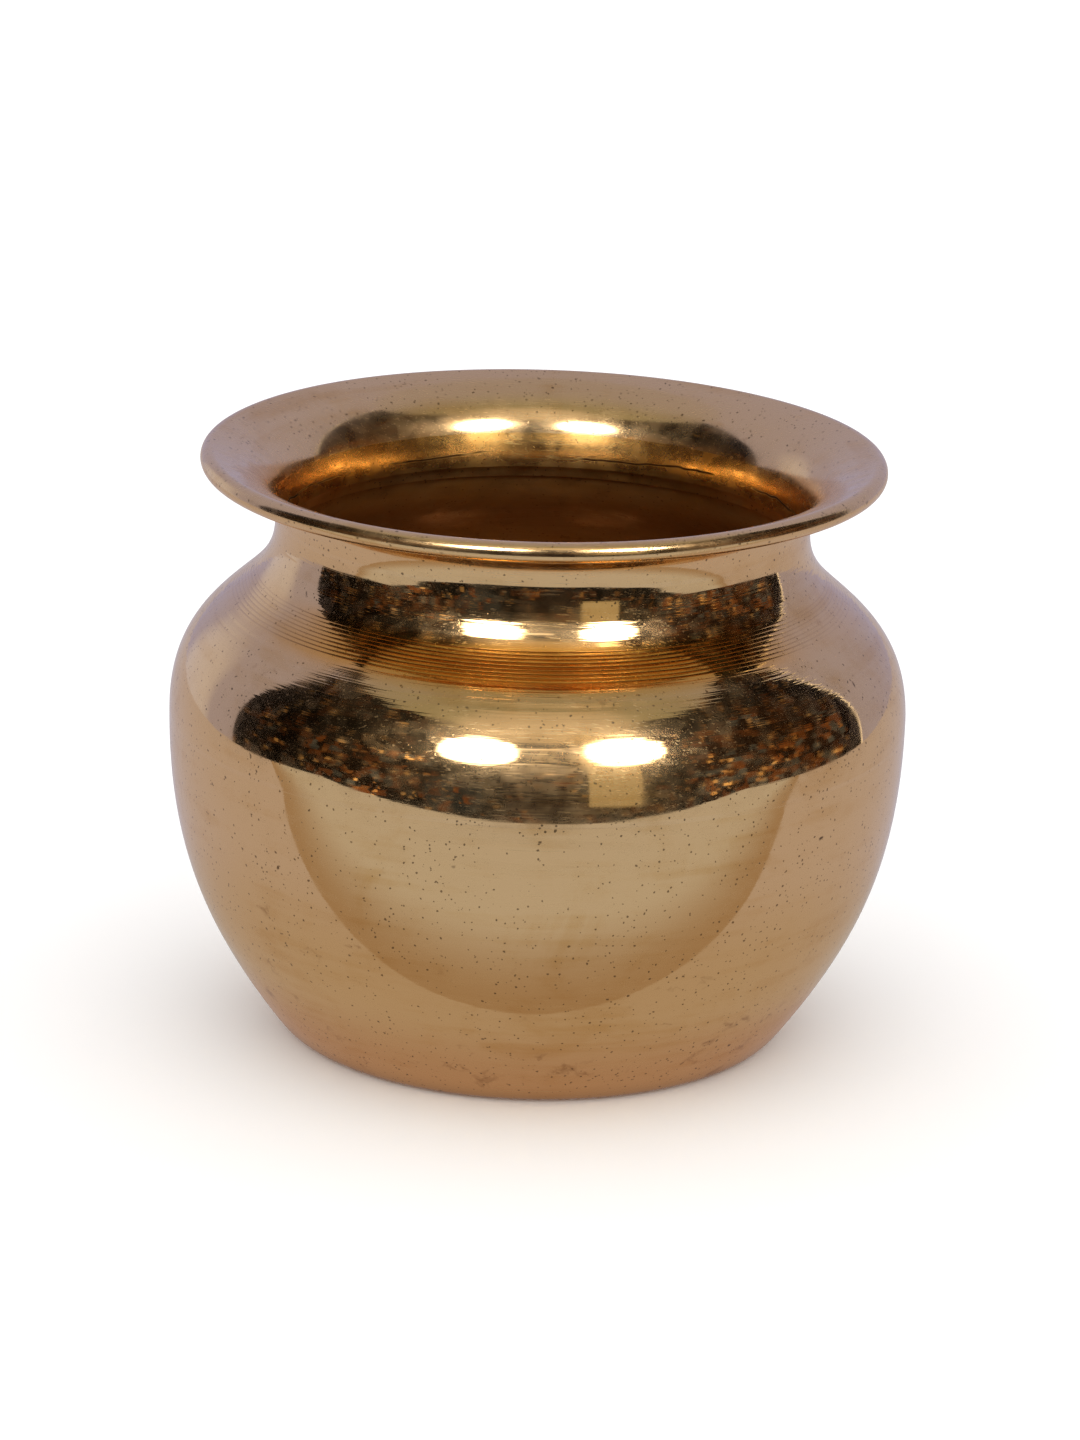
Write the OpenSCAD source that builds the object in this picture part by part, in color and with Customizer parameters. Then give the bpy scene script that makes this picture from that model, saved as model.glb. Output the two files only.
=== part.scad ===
// Brass kalash: a round-bellied water pot built up from spun sheet brass.
// Two spun shells meet in a brazed lap at the belly, a flared collar is brazed into
// the neck, and the collar's edge is rolled round a wire that stiffens the mouth.
// Millimetres, +Z up, with the origin at the centre of the flat foot.

/* [Body] */
// Diameter at the widest point of the belly
belly_d = 125; // [104:0.5:150]
// Height of the belly seam above the foot
belly_h = 55.4; // [46:0.2:67]
// Diameter of the flat foot
foot_d = 77.4; // [64:0.2:93]
// How far the corner above the foot reaches out
corner_run = 7.7; // [6:0.1:9.5]
// Height of that corner
corner_h = 5; // [4:0.1:6]
// How far the wall leans out from the straight line between corner and belly, in degrees
wall_swell = 17.8; // [12:0.2:22]
// Height from the belly seam up to the neck seam
shoulder_h = 33.6; // [28:0.2:41]

/* [Neck and mouth] */
// Outside diameter of the neck
neck_d = 90; // [75:0.5:108]
// Height of the short straight land below the neck seam
neck_land = 0.8; // [0.5:0.1:1.5]
// Height from the neck seam up to the top of the lip
mouth_h = 11.5; // [9.5:0.1:14]
// Width of the flared mouth, from the outside of the neck to the outside of the lip
flare_w = 12.65; // [10.5:0.05:15.2]
// Upward slope of the mouth where it meets the lip, in degrees
lip_slope = 18.6; // [10:0.2:26]

/* [Sheet, wire and seams] */
// Thickness of the brass sheet
sheet_t = 0.6; // [0.5:0.05:0.75]
// Diameter of the wire inside the rolled lip
wire_d = 2.2; // [1.8:0.1:2.7]
// Slit between the rolled edge and the sheet above it
roll_gap = 0.15; // [0.1:0.05:0.3]
// Height of the overlap at the belly seam
belly_lap = 4; // [3:0.1:5]
// Height of the overlap at the neck seam
neck_lap = 4.6; // [3.6:0.1:5.6]
// Height over which a sheet is stepped in to pass inside its neighbour
joggle_h = 0.8; // [0.6:0.1:1]
// Gap in both overlaps, which the spelter fills
braze_gap = 0.1; // [0.08:0.01:0.15]
// Size of the spelter fillet that runs along the inside of each overlap
fillet_w = 0.5; // [0.4:0.05:0.6]

/* [Turned grooves] */
// Number of grooves in the band on the shoulder
groove_count = 9; // [5:1:12]
// Height from one groove to the next
groove_pitch = 0.49; // [0.4:0.01:0.6]
// Depth of each groove
groove_depth = 0.12; // [0.05:0.01:0.2]
// Height from the top of the band up to the neck seam
groove_drop = 9; // [6.5:0.1:10.5]

/* [Hidden] */

brass = [0.82, 0.63, 0.34];
drawn_wire = [0.87, 0.72, 0.42];
spelter = [0.90, 0.80, 0.52];
$fn = 180;

// How far along each stretch its two Bezier handles reach, as shares of its rise or run
wall_pull = [0.37, 0.426];
shoulder_pull = [0.626, 0.424];
mouth_pull = [0.746, 0.19];
// Flat pieces that each stretch is drawn with
corner_steps = 8;
wall_steps = 16;
shoulder_steps = 20;
mouth_steps = 14;
lap_steps = 3;
groove_steps = 4;
// Halvings used when a curve is searched for a height
search_rounds = 24;
// Overlap that keeps a cut from ending exactly on a face
cut_over = 0.5;

step_in = sheet_t + braze_gap;
neck_seam_z = belly_h + shoulder_h;
neck_top_z = neck_seam_z - neck_land;
roll_r = wire_d / 2 + sheet_t;
joggle_bend = atan2(step_in, joggle_h);
joggle_shift = sheet_t * tan(joggle_bend / 2);

foot_edge = [foot_d / 2, 0];
corner_top = [foot_d / 2 + corner_run, corner_h];
belly = [belly_d / 2, belly_h];
neck = [neck_d / 2, neck_top_z];
neck_seam = [neck_d / 2, neck_seam_z];
roll_centre = [neck_d / 2 + flare_w - roll_r, neck_seam_z + mouth_h - roll_r];

wall_angle = atan2(belly.y - corner_top.y, belly.x - corner_top.x) - wall_swell;
wall_way = [cos(wall_angle), sin(wall_angle)];
lip_way = [cos(lip_slope), sin(lip_slope)];
lip_up = [-sin(lip_slope), cos(lip_slope)];
// Where the wall's direction at the corner would run down to the floor
corner_point = corner_top - wall_way * corner_h / sin(wall_angle);
wall_rise = belly_h - corner_h;
shoulder_rise = neck_top_z - belly_h;
// Where the under side of the mouth meets the wire
mouth_end = roll_centre + lip_up * wire_d / 2;

// Outside of the pot from foot to lip, one cubic Bezier curve a stretch
corner_curve = [foot_edge, corner_point, corner_point, corner_top];
wall_curve = [
  corner_top,
  corner_top + wall_way * wall_pull[0] * wall_rise,
  belly - [0, wall_pull[1] * wall_rise],
  belly
];
shoulder_curve = [
  belly,
  belly + [0, shoulder_pull[0] * shoulder_rise],
  neck - [0, shoulder_pull[1] * shoulder_rise],
  neck
];
mouth_curve = [
  neck_seam,
  neck_seam + [0, mouth_pull[0] * (mouth_end.y - neck_seam_z)],
  mouth_end - lip_way * mouth_pull[1] * (mouth_end.x - neck_seam.x),
  mouth_end
];

belly_joggle_t = t_at(wall_curve, belly_h - joggle_h);
belly_joggle_in_t = t_at(wall_curve, belly_h - joggle_h - joggle_shift);
belly_lap_t = t_at(shoulder_curve, belly_h + belly_lap);
neck_lap_t = t_at(shoulder_curve, neck_seam_z - neck_lap);
neck_joggle_t = t_at(mouth_curve, neck_seam_z + joggle_h);
groove_top_z = neck_seam_z - groove_drop;
groove_low_z = groove_top_z - groove_count * groove_pitch;
groove_low_t = t_at(shoulder_curve, groove_low_z);
groove_top_t = t_at(shoulder_curve, groove_top_z);

// Point at t on a cubic Bezier curve
function curve_point(curve, t) =
  (1 - t) ^ 3 * curve[0]
  + 3 * t * (1 - t) ^ 2 * curve[1]
  + 3 * t ^ 2 * (1 - t) * curve[2]
  + t ^ 3 * curve[3];

// Direction of travel at t
function curve_way(curve, t) =
  (1 - t) ^ 2 * (curve[1] - curve[0])
  + 2 * t * (1 - t) * (curve[2] - curve[1])
  + t ^ 2 * (curve[3] - curve[2]);

// Unit vector out of the metal at t, on the right of the way the curve runs
function curve_out(curve, t) =
  let(way = curve_way(curve, t))
  [way.y, -way.x] / norm(way);

// Point at t, moved inwards by inset
function inset_point(curve, t, inset) =
  curve_point(curve, t) - inset * curve_out(curve, t);

// Points from one t to another, moved inwards by inset
function inset_path(curve, from, to, steps, inset = 0) =
  [for (i = [0 : steps]) inset_point(curve, from + (to - from) * i / steps, inset)];

// The t at which a rising curve reaches a height, by halving
function t_at(curve, height, low = 0, high = 1, rounds = search_rounds) =
  let(mid = (low + high) / 2)
  rounds == 0 ? mid
  : curve_point(curve, mid).y < height ? t_at(curve, height, mid, high, rounds - 1)
  : t_at(curve, height, low, mid, rounds - 1);

// All but the first point of a path, for joining it to the path before
function rest_of(path) = [for (i = [1 : len(path) - 1]) path[i]];

function backwards(path) = [for (i = [len(path) - 1 : -1 : 0]) path[i]];

// Point on the first flat piece of a path, at a distance from its start
function up_path(path, distance) =
  path[0] + (path[1] - path[0]) * distance / norm(path[1] - path[0]);

// The band of grooves, cut in from the outside of the shoulder
function groove_path() =
  let(steps = groove_count * groove_steps)
  [for (i = [0 : steps])
    let(t = t_at(shoulder_curve, groove_low_z + (groove_top_z - groove_low_z) * i / steps))
    inset_point(shoulder_curve, t, groove_depth * (1 - cos(360 * i / groove_steps)) / 2)];

// Outer face of the sheet that passes up inside the shoulder at the belly
belly_lap_path = inset_path(shoulder_curve, 0, belly_lap_t, lap_steps, step_in);
// Outer face of the sheet that passes down inside the shoulder at the neck
neck_lap_path = concat(
  inset_path(shoulder_curve, neck_lap_t, 1, lap_steps, step_in),
  [neck_seam - [step_in, 0]]
);
// Inner face of the shoulder shell: beside the belly lap, between the laps, beside the neck lap
belly_film_path = inset_path(shoulder_curve, 0, belly_lap_t, lap_steps, sheet_t);
shoulder_bare_path = inset_path(shoulder_curve, belly_lap_t, neck_lap_t, shoulder_steps, sheet_t);
neck_film_path = concat(
  inset_path(shoulder_curve, neck_lap_t, 1, lap_steps, sheet_t),
  [neck_seam - [sheet_t, 0]]
);

// Spun bowl: flat foot, wall, and a stepped-in edge that stands up inside the shoulder
module lower_bowl() {
  outside = concat(
    [[0, 0]],
    inset_path(corner_curve, 0, 1, corner_steps),
    rest_of(inset_path(wall_curve, 0, belly_joggle_t, wall_steps)),
    belly_lap_path
  );
  inside = concat(
    [[0, sheet_t]],
    inset_path(corner_curve, 0, 1, corner_steps, sheet_t),
    rest_of(inset_path(wall_curve, 0, belly_joggle_in_t, wall_steps, sheet_t)),
    [belly - [step_in + sheet_t, joggle_shift]],
    rest_of(inset_path(shoulder_curve, 0, belly_lap_t, lap_steps, step_in + sheet_t))
  );
  color(brass)
    rotate_extrude() polygon(concat(outside, backwards(inside)));
}

// Upper half of the body: from the belly seam over the grooved shoulder to the neck seam
module shoulder_shell() {
  outside = concat(
    inset_path(shoulder_curve, 0, groove_low_t, shoulder_steps),
    rest_of(groove_path()),
    rest_of(inset_path(shoulder_curve, groove_top_t, 1, lap_steps * 2)),
    [neck_seam]
  );
  inside = concat(belly_film_path, rest_of(shoulder_bare_path), rest_of(neck_film_path));
  color(brass)
    rotate_extrude() polygon(concat(outside, backwards(inside)));
}

// Collar: a skirt inside the neck, the flared mouth, and the edge rolled round the wire
module neck_collar() {
  outside = concat(neck_lap_path, inset_path(mouth_curve, neck_joggle_t, 1, mouth_steps));
  inside = concat(
    inset_path(shoulder_curve, neck_lap_t, 1, lap_steps, step_in + sheet_t),
    [neck_seam - [step_in + sheet_t, joggle_shift]],
    inset_path(mouth_curve, neck_joggle_t, 1, mouth_steps, sheet_t)
  );
  color(brass)
    rotate_extrude()
      difference() {
        union() {
          polygon(concat(outside, backwards(inside)));
          translate(roll_centre) circle(r = roll_r);
        }
        translate(roll_centre) circle(d = wire_d);
        translate(roll_centre)
          rotate(lip_slope)
            translate([-roll_r - cut_over, wire_d / 2 - roll_gap])
              square([roll_r + cut_over, roll_gap]);
      }
}

// Drawn wire that fills the rolled lip
module rim_wire() {
  color(drawn_wire)
    rotate_extrude()
      translate(roll_centre) circle(d = wire_d);
}

// Spelter in the belly seam: the outer groove, the film in the lap and the inner fillet
module belly_braze() {
  color(spelter)
    rotate_extrude()
      polygon(concat(
        [curve_point(wall_curve, belly_joggle_t)],
        belly_lap_path,
        [
          inset_point(shoulder_curve, belly_lap_t, step_in + fillet_w),
          up_path(shoulder_bare_path, fillet_w)
        ],
        backwards(belly_film_path),
        [belly]
      ));
}

// Spelter in the neck seam: the outer groove, the film in the lap and the lower fillet
module neck_braze() {
  color(spelter)
    rotate_extrude()
      polygon(concat(
        [curve_point(mouth_curve, neck_joggle_t)],
        backwards(neck_lap_path),
        [
          inset_point(shoulder_curve, neck_lap_t, step_in + fillet_w),
          up_path(backwards(shoulder_bare_path), fillet_w)
        ],
        neck_film_path,
        [neck_seam]
      ));
}

lower_bowl();
shoulder_shell();
neck_collar();
rim_wire();
belly_braze();
neck_braze();
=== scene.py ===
"""Looks for a brass kalash: spun skins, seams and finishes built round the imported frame.

Sizes in the dataclasses are millimetres. Meshes are made in metres, in the frame's own axes:
+Z up along the turning axis, the viewer on the -Y side, the foot standing on the floor at zero.
"""

import logging
import math
from collections.abc import Sequence
from dataclasses import dataclass, field
from enum import Enum

import bmesh
import bpy
from mathutils import Matrix, Vector


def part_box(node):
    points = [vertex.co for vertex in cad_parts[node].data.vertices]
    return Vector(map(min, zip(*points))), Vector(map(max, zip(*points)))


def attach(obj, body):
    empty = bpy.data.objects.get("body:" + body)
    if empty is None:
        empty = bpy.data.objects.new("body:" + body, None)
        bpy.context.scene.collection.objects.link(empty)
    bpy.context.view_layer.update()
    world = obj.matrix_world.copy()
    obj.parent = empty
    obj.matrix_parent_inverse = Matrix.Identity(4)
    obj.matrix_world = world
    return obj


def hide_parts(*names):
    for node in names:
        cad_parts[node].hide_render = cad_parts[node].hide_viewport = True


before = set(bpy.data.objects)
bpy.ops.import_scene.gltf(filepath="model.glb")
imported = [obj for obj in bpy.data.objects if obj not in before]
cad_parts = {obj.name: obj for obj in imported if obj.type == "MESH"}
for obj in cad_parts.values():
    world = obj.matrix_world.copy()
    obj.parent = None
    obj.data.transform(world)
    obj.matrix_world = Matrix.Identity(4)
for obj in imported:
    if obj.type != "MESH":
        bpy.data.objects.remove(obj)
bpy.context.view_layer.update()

log = logging.getLogger("kalash")

MM = 0.001
SPIN_STEPS = 256
SHARP_FROM = 50.0  # degrees between faces from which an outer edge is broken
SMOOTH_UNTIL = 20.0  # degrees between faces up to which shading runs on across an edge
EDGE_SEGMENTS = 2
MERGE_DISTANCE = 1e-7
SAME_POINT = 1e-4  # millimetres below which two points of a section are one
ALONG = "along"  # attribute that holds how far along its section a point lies, in millimetres
HALVINGS = 30


def rgb(sheet_colour: str) -> tuple[float, float, float, float]:
    """Turns an sRGB hex colour into a linear one.

    Args:
        sheet_colour: Six hex digits with a leading hash.

    Returns:
        Linear red, green, blue and an alpha of one.
    """
    channels = (int(sheet_colour[i:i + 2], 16) / 255 for i in (1, 3, 5))
    linear = [c / 12.92 if c <= 0.04045 else ((c + 0.055) / 1.055) ** 2.4 for c in channels]
    return (linear[0], linear[1], linear[2], 1.0)


def add_node(tree: bpy.types.NodeTree, kind: str, settings: dict | None = None,
             inputs: dict | None = None) -> bpy.types.Node:
    """Adds one node to a tree.

    Args:
        tree: The node tree that takes the node.
        kind: The node's type name.
        settings: Properties to set on the node.
        inputs: Values or output sockets for its inputs, by socket name or number.

    Returns:
        The new node.
    """
    node = tree.nodes.new(kind)
    for name, value in (settings or {}).items():
        setattr(node, name, value)
    for key, value in (inputs or {}).items():
        if isinstance(value, bpy.types.NodeSocket):
            tree.links.new(value, node.inputs[key])
        else:
            node.inputs[key].default_value = value
    return node


# ---------------------------------------------------------------------------------------------
# Outline
# ---------------------------------------------------------------------------------------------


@dataclass(frozen=True)
class Stretch:
    """One cubic Bezier stretch of the pot's outline, in radius and height."""

    start: Vector
    leave: Vector
    arrive: Vector
    end: Vector

    def at(self, share: float) -> Vector:
        """Finds a point of the stretch.

        Args:
            share: How far along it, from zero to one.

        Returns:
            The point there.
        """
        rest = 1 - share
        return (self.start * rest ** 3 + self.leave * 3 * share * rest ** 2
                + self.arrive * 3 * share ** 2 * rest + self.end * share ** 3)

    def outward(self, share: float) -> Vector:
        """Finds the way out of the metal, on the right of the way the stretch runs.

        Args:
            share: How far along the stretch, from zero to one.

        Returns:
            A unit vector.
        """
        rest = 1 - share
        way = ((self.leave - self.start) * rest ** 2
               + (self.arrive - self.leave) * 2 * share * rest
               + (self.end - self.arrive) * share ** 2)
        return Vector((way.y, -way.x)).normalized()

    def inset(self, share: float, depth: float) -> Vector:
        """Returns the point at a share, moved into the metal by depth."""
        return self.at(share) - self.outward(share) * depth

    def share_at(self, height: float) -> float:
        """Finds where the rising stretch reaches a height, by halving.

        Args:
            height: The height in millimetres.

        Returns:
            How far along the stretch that is, from zero to one.
        """
        low, high = 0.0, 1.0
        for _ in range(HALVINGS):
            middle = (low + high) / 2
            if self.at(middle).y < height:
                low = middle
            else:
                high = middle
        return (low + high) / 2

    def path(self, low: float, high: float, steps: int, depth: float = 0.0) -> list[Vector]:
        """Returns evenly shared points from one share to another, moved in by depth."""
        return [self.inset(low + (high - low) * i / steps, depth) for i in range(steps + 1)]


@dataclass
class PotShape:
    """The pot's section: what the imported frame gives, and the sizes that it doesn't show.

    A pull is how far each end of a stretch keeps its direction, as a share of its rise; at the
    lip it is a share of its reach.
    """

    belly_r: float
    belly_h: float
    neck_seam_h: float
    wire_d: float
    roll_centre: Vector
    foot_r: float = 38.7
    corner_run: float = 7.7
    corner_h: float = 5.0
    wall_swell: float = 17.8
    neck_r: float = 45.0
    neck_land: float = 0.8
    lip_slope: float = 18.6
    sheet: float = 0.6
    braze_gap: float = 0.1
    belly_lap: float = 4.0
    neck_lap: float = 4.6
    joggle_h: float = 0.8
    fillet: float = 0.5
    wall_pull: tuple[float, float] = (0.37, 0.426)
    shoulder_pull: tuple[float, float] = (0.626, 0.424)
    mouth_pull: tuple[float, float] = (0.746, 0.19)

    @classmethod
    def from_frame(cls) -> "PotShape":
        """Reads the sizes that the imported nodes' boxes give.

        Returns:
            The pot's section.
        """
        shoulder_low, shoulder_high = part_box("shoulder_shell")
        wire_low, wire_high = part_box("rim_wire")
        wire_d = (wire_high.z - wire_low.z) / MM
        wire_h = (wire_low.z + wire_high.z) / 2 / MM
        return cls(
            belly_r=shoulder_high.x / MM,
            belly_h=shoulder_low.z / MM,
            neck_seam_h=shoulder_high.z / MM,
            wire_d=wire_d,
            roll_centre=Vector((wire_high.x / MM - wire_d / 2, wire_h)),
        )

    def __post_init__(self) -> None:
        """Works out the stretches of the outline and the shares where the seams lie."""
        self.step_in = self.sheet + self.braze_gap
        self.roll_r = self.wire_d / 2 + self.sheet
        corner_top = Vector((self.foot_r + self.corner_run, self.corner_h))
        belly = Vector((self.belly_r, self.belly_h))
        neck = Vector((self.neck_r, self.neck_seam_h - self.neck_land))
        seam = Vector((self.neck_r, self.neck_seam_h))
        chord = math.atan2(belly.y - corner_top.y, belly.x - corner_top.x)
        lean = chord - math.radians(self.wall_swell)
        wall_way = Vector((math.cos(lean), math.sin(lean)))
        slope = math.radians(self.lip_slope)
        self.lip_way = Vector((math.cos(slope), math.sin(slope)))
        self.lip_up = Vector((-math.sin(slope), math.cos(slope)))
        corner_point = corner_top - wall_way * (self.corner_h / math.sin(lean))
        mouth_end = self.roll_centre + self.lip_up * (self.wire_d / 2)
        wall_rise = self.belly_h - self.corner_h
        shoulder_rise = neck.y - self.belly_h
        up = Vector((0, 1))
        self.corner = Stretch(Vector((self.foot_r, 0)), corner_point, corner_point, corner_top)
        first, last = self.wall_pull
        self.wall = Stretch(corner_top, corner_top + wall_way * first * wall_rise,
                            belly - up * last * wall_rise, belly)
        first, last = self.shoulder_pull
        self.shoulder = Stretch(belly, belly + up * first * shoulder_rise,
                                neck - up * last * shoulder_rise, neck)
        first, last = self.mouth_pull
        self.mouth = Stretch(seam, seam + up * first * (mouth_end.y - seam.y),
                             mouth_end - self.lip_way * last * (mouth_end.x - seam.x), mouth_end)
        self.belly_joggle = self.wall.share_at(self.belly_h - self.joggle_h)
        self.belly_lap_end = self.shoulder.share_at(self.belly_h + self.belly_lap)
        self.neck_lap_end = self.shoulder.share_at(self.neck_seam_h - self.neck_lap)
        self.neck_joggle = self.mouth.share_at(self.neck_seam_h + self.joggle_h)
        self.seam_point = seam
        self.belly_point = belly
        bend = math.atan2(self.step_in, self.joggle_h)
        self.joggle_shift = self.sheet * math.tan(bend / 2)


# ---------------------------------------------------------------------------------------------
# Spinning
# ---------------------------------------------------------------------------------------------


class Face(Enum):
    """Which finish a part of a section takes, in the order of the piece's material slots."""

    OUTSIDE = 0
    INSIDE = 1
    EDGE = 2


@dataclass
class Section:
    """A closed section of a spun piece, as runs of points that each take one finish."""

    points: list[Vector] = field(default_factory=list)
    runs: list[tuple[float, Face]] = field(default_factory=list)

    def run(self, path: Sequence[Vector], face: Face) -> "Section":
        """Adds points that follow on.

        Args:
            path: The points, in order round the section.
            face: The finish that they take.

        Returns:
            The section itself.
        """
        for point in path:
            if not self.points or (point - self.points[-1]).length > SAME_POINT:
                self.points.append(point)
        self.runs.append((self.length(), face))
        return self

    def length(self) -> float:
        """Returns the length of the section so far."""
        return sum((b - a).length for a, b in zip(self.points, self.points[1:]))

    def face_at(self, along: float) -> Face:
        """Returns the finish at a distance along the section."""
        return next((face for limit, face in self.runs if along < limit), self.runs[-1][1])


@dataclass(frozen=True)
class MakersHand:
    """How far hand work has left the sheet from a true turned form, in millimetres."""

    oval: float = 0.10
    lobes: float = 0.05
    ripple: float = 0.03
    lip_wave: float = 0.16
    true_until: float = 20.0
    wave_from: float = 90.0
    wave_rise: float = 8.0

    def moved(self, co: Vector) -> Vector:
        """Returns where a true point lies on the hand-made pot; the foot stays flat.

        Args:
            co: A point in metres.

        Returns:
            The same point, pushed in or out a little.
        """
        height = co.z / MM
        turn = math.atan2(co.y, co.x)
        away = self.oval * math.sin(2 * turn + 0.7)
        away += self.lobes * math.sin(3 * turn - 1.1 + height / 30)
        away += self.ripple * math.sin(7 * turn + height / 9)
        away *= min(1.0, max(0.0, height / self.true_until))
        flat = Vector((co.x, co.y, 0))
        if flat.length > 0:
            flat.normalize()
        high = min(1.0, max(0.0, (height - self.wave_from) / self.wave_rise))
        lift = self.lip_wave * high * math.sin(2 * turn + 2.3)
        return co + (flat * away + Vector((0, 0, lift))) * MM


HAND = MakersHand()


def spun_piece(name: str, section: Section, edge_round: float = 0.12) -> bpy.types.Object:
    """Spins a section round the turning axis into one closed piece.

    Args:
        name: The piece's name.
        section: Its closed section; ends on the axis aren't joined to each other.
        edge_round: Radius that breaks its sharp edges, in millimetres; none where it is flush.

    Returns:
        The new object, linked to the scene and riding on the root body.
    """
    bm = bmesh.new()
    along_layer = bm.verts.layers.float.new(ALONG)
    previous = None
    run = 0.0
    first = None
    for point in section.points:
        vert = bm.verts.new((point.x * MM, 0, point.y * MM))
        if previous is not None:
            run += (vert.co - previous.co).length / MM
            bm.edges.new((previous, vert))
        vert[along_layer] = run
        first = first or vert
        previous = vert
    if max(section.points[0].x, section.points[-1].x) > 0:
        bm.edges.new((previous, first))
    bmesh.ops.spin(bm, geom=bm.verts[:] + bm.edges[:], cent=(0, 0, 0), axis=(0, 0, 1),
                   dvec=(0, 0, 0), angle=math.tau, steps=SPIN_STEPS, use_merge=True,
                   use_normal_flip=False, use_duplicate=False)
    bmesh.ops.remove_doubles(bm, verts=bm.verts, dist=MERGE_DISTANCE)
    bmesh.ops.recalc_face_normals(bm, faces=bm.faces)
    for face in bm.faces:
        face.smooth = True
        middle = sum(v[along_layer] for v in face.verts) / len(face.verts)
        face.material_index = section.face_at(middle).value
    sharp = [e for e in bm.edges
             if e.is_convex and e.calc_face_angle(0) > math.radians(SHARP_FROM)]
    if sharp and edge_round:
        bmesh.ops.bevel(bm, geom=sharp, affect="EDGES", offset=edge_round * MM,
                        segments=EDGE_SEGMENTS, profile=0.5, material=-1)
    for edge in bm.edges:
        edge.smooth = edge.calc_face_angle(0) < math.radians(SMOOTH_UNTIL)
    for vert in bm.verts:
        vert.co = HAND.moved(vert.co)
    mesh = bpy.data.meshes.new(name)
    bm.to_mesh(mesh)
    bm.free()
    piece = bpy.data.objects.new(name, mesh)
    bpy.context.scene.collection.objects.link(piece)
    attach(piece, "root")
    return piece


# ---------------------------------------------------------------------------------------------
# Finishes
# ---------------------------------------------------------------------------------------------


@dataclass(frozen=True)
class Cut:
    """Straight scratches that run one way.

    Turn is their angles in degrees, width the distance between them (each is about a third of
    it wide) and length their length in millimetres. Few goes from 0.5 for many to 0.76 for
    hardly any, and shift is an offset, so that two layers differ.
    """

    turn: tuple[float, float, float]
    width: float
    length: float
    few: float
    shift: float = 0.0


@dataclass(frozen=True)
class Pits:
    """Pits of one size.

    Cell is the mean distance in millimetres between places where one may lie, share the part
    of a finish's pits that are of this size, size the radius of the largest in cells, and shift
    an offset in metres, so that two layers differ.
    """

    cell: float
    share: float
    size: float
    shift: float = 0.0


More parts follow.
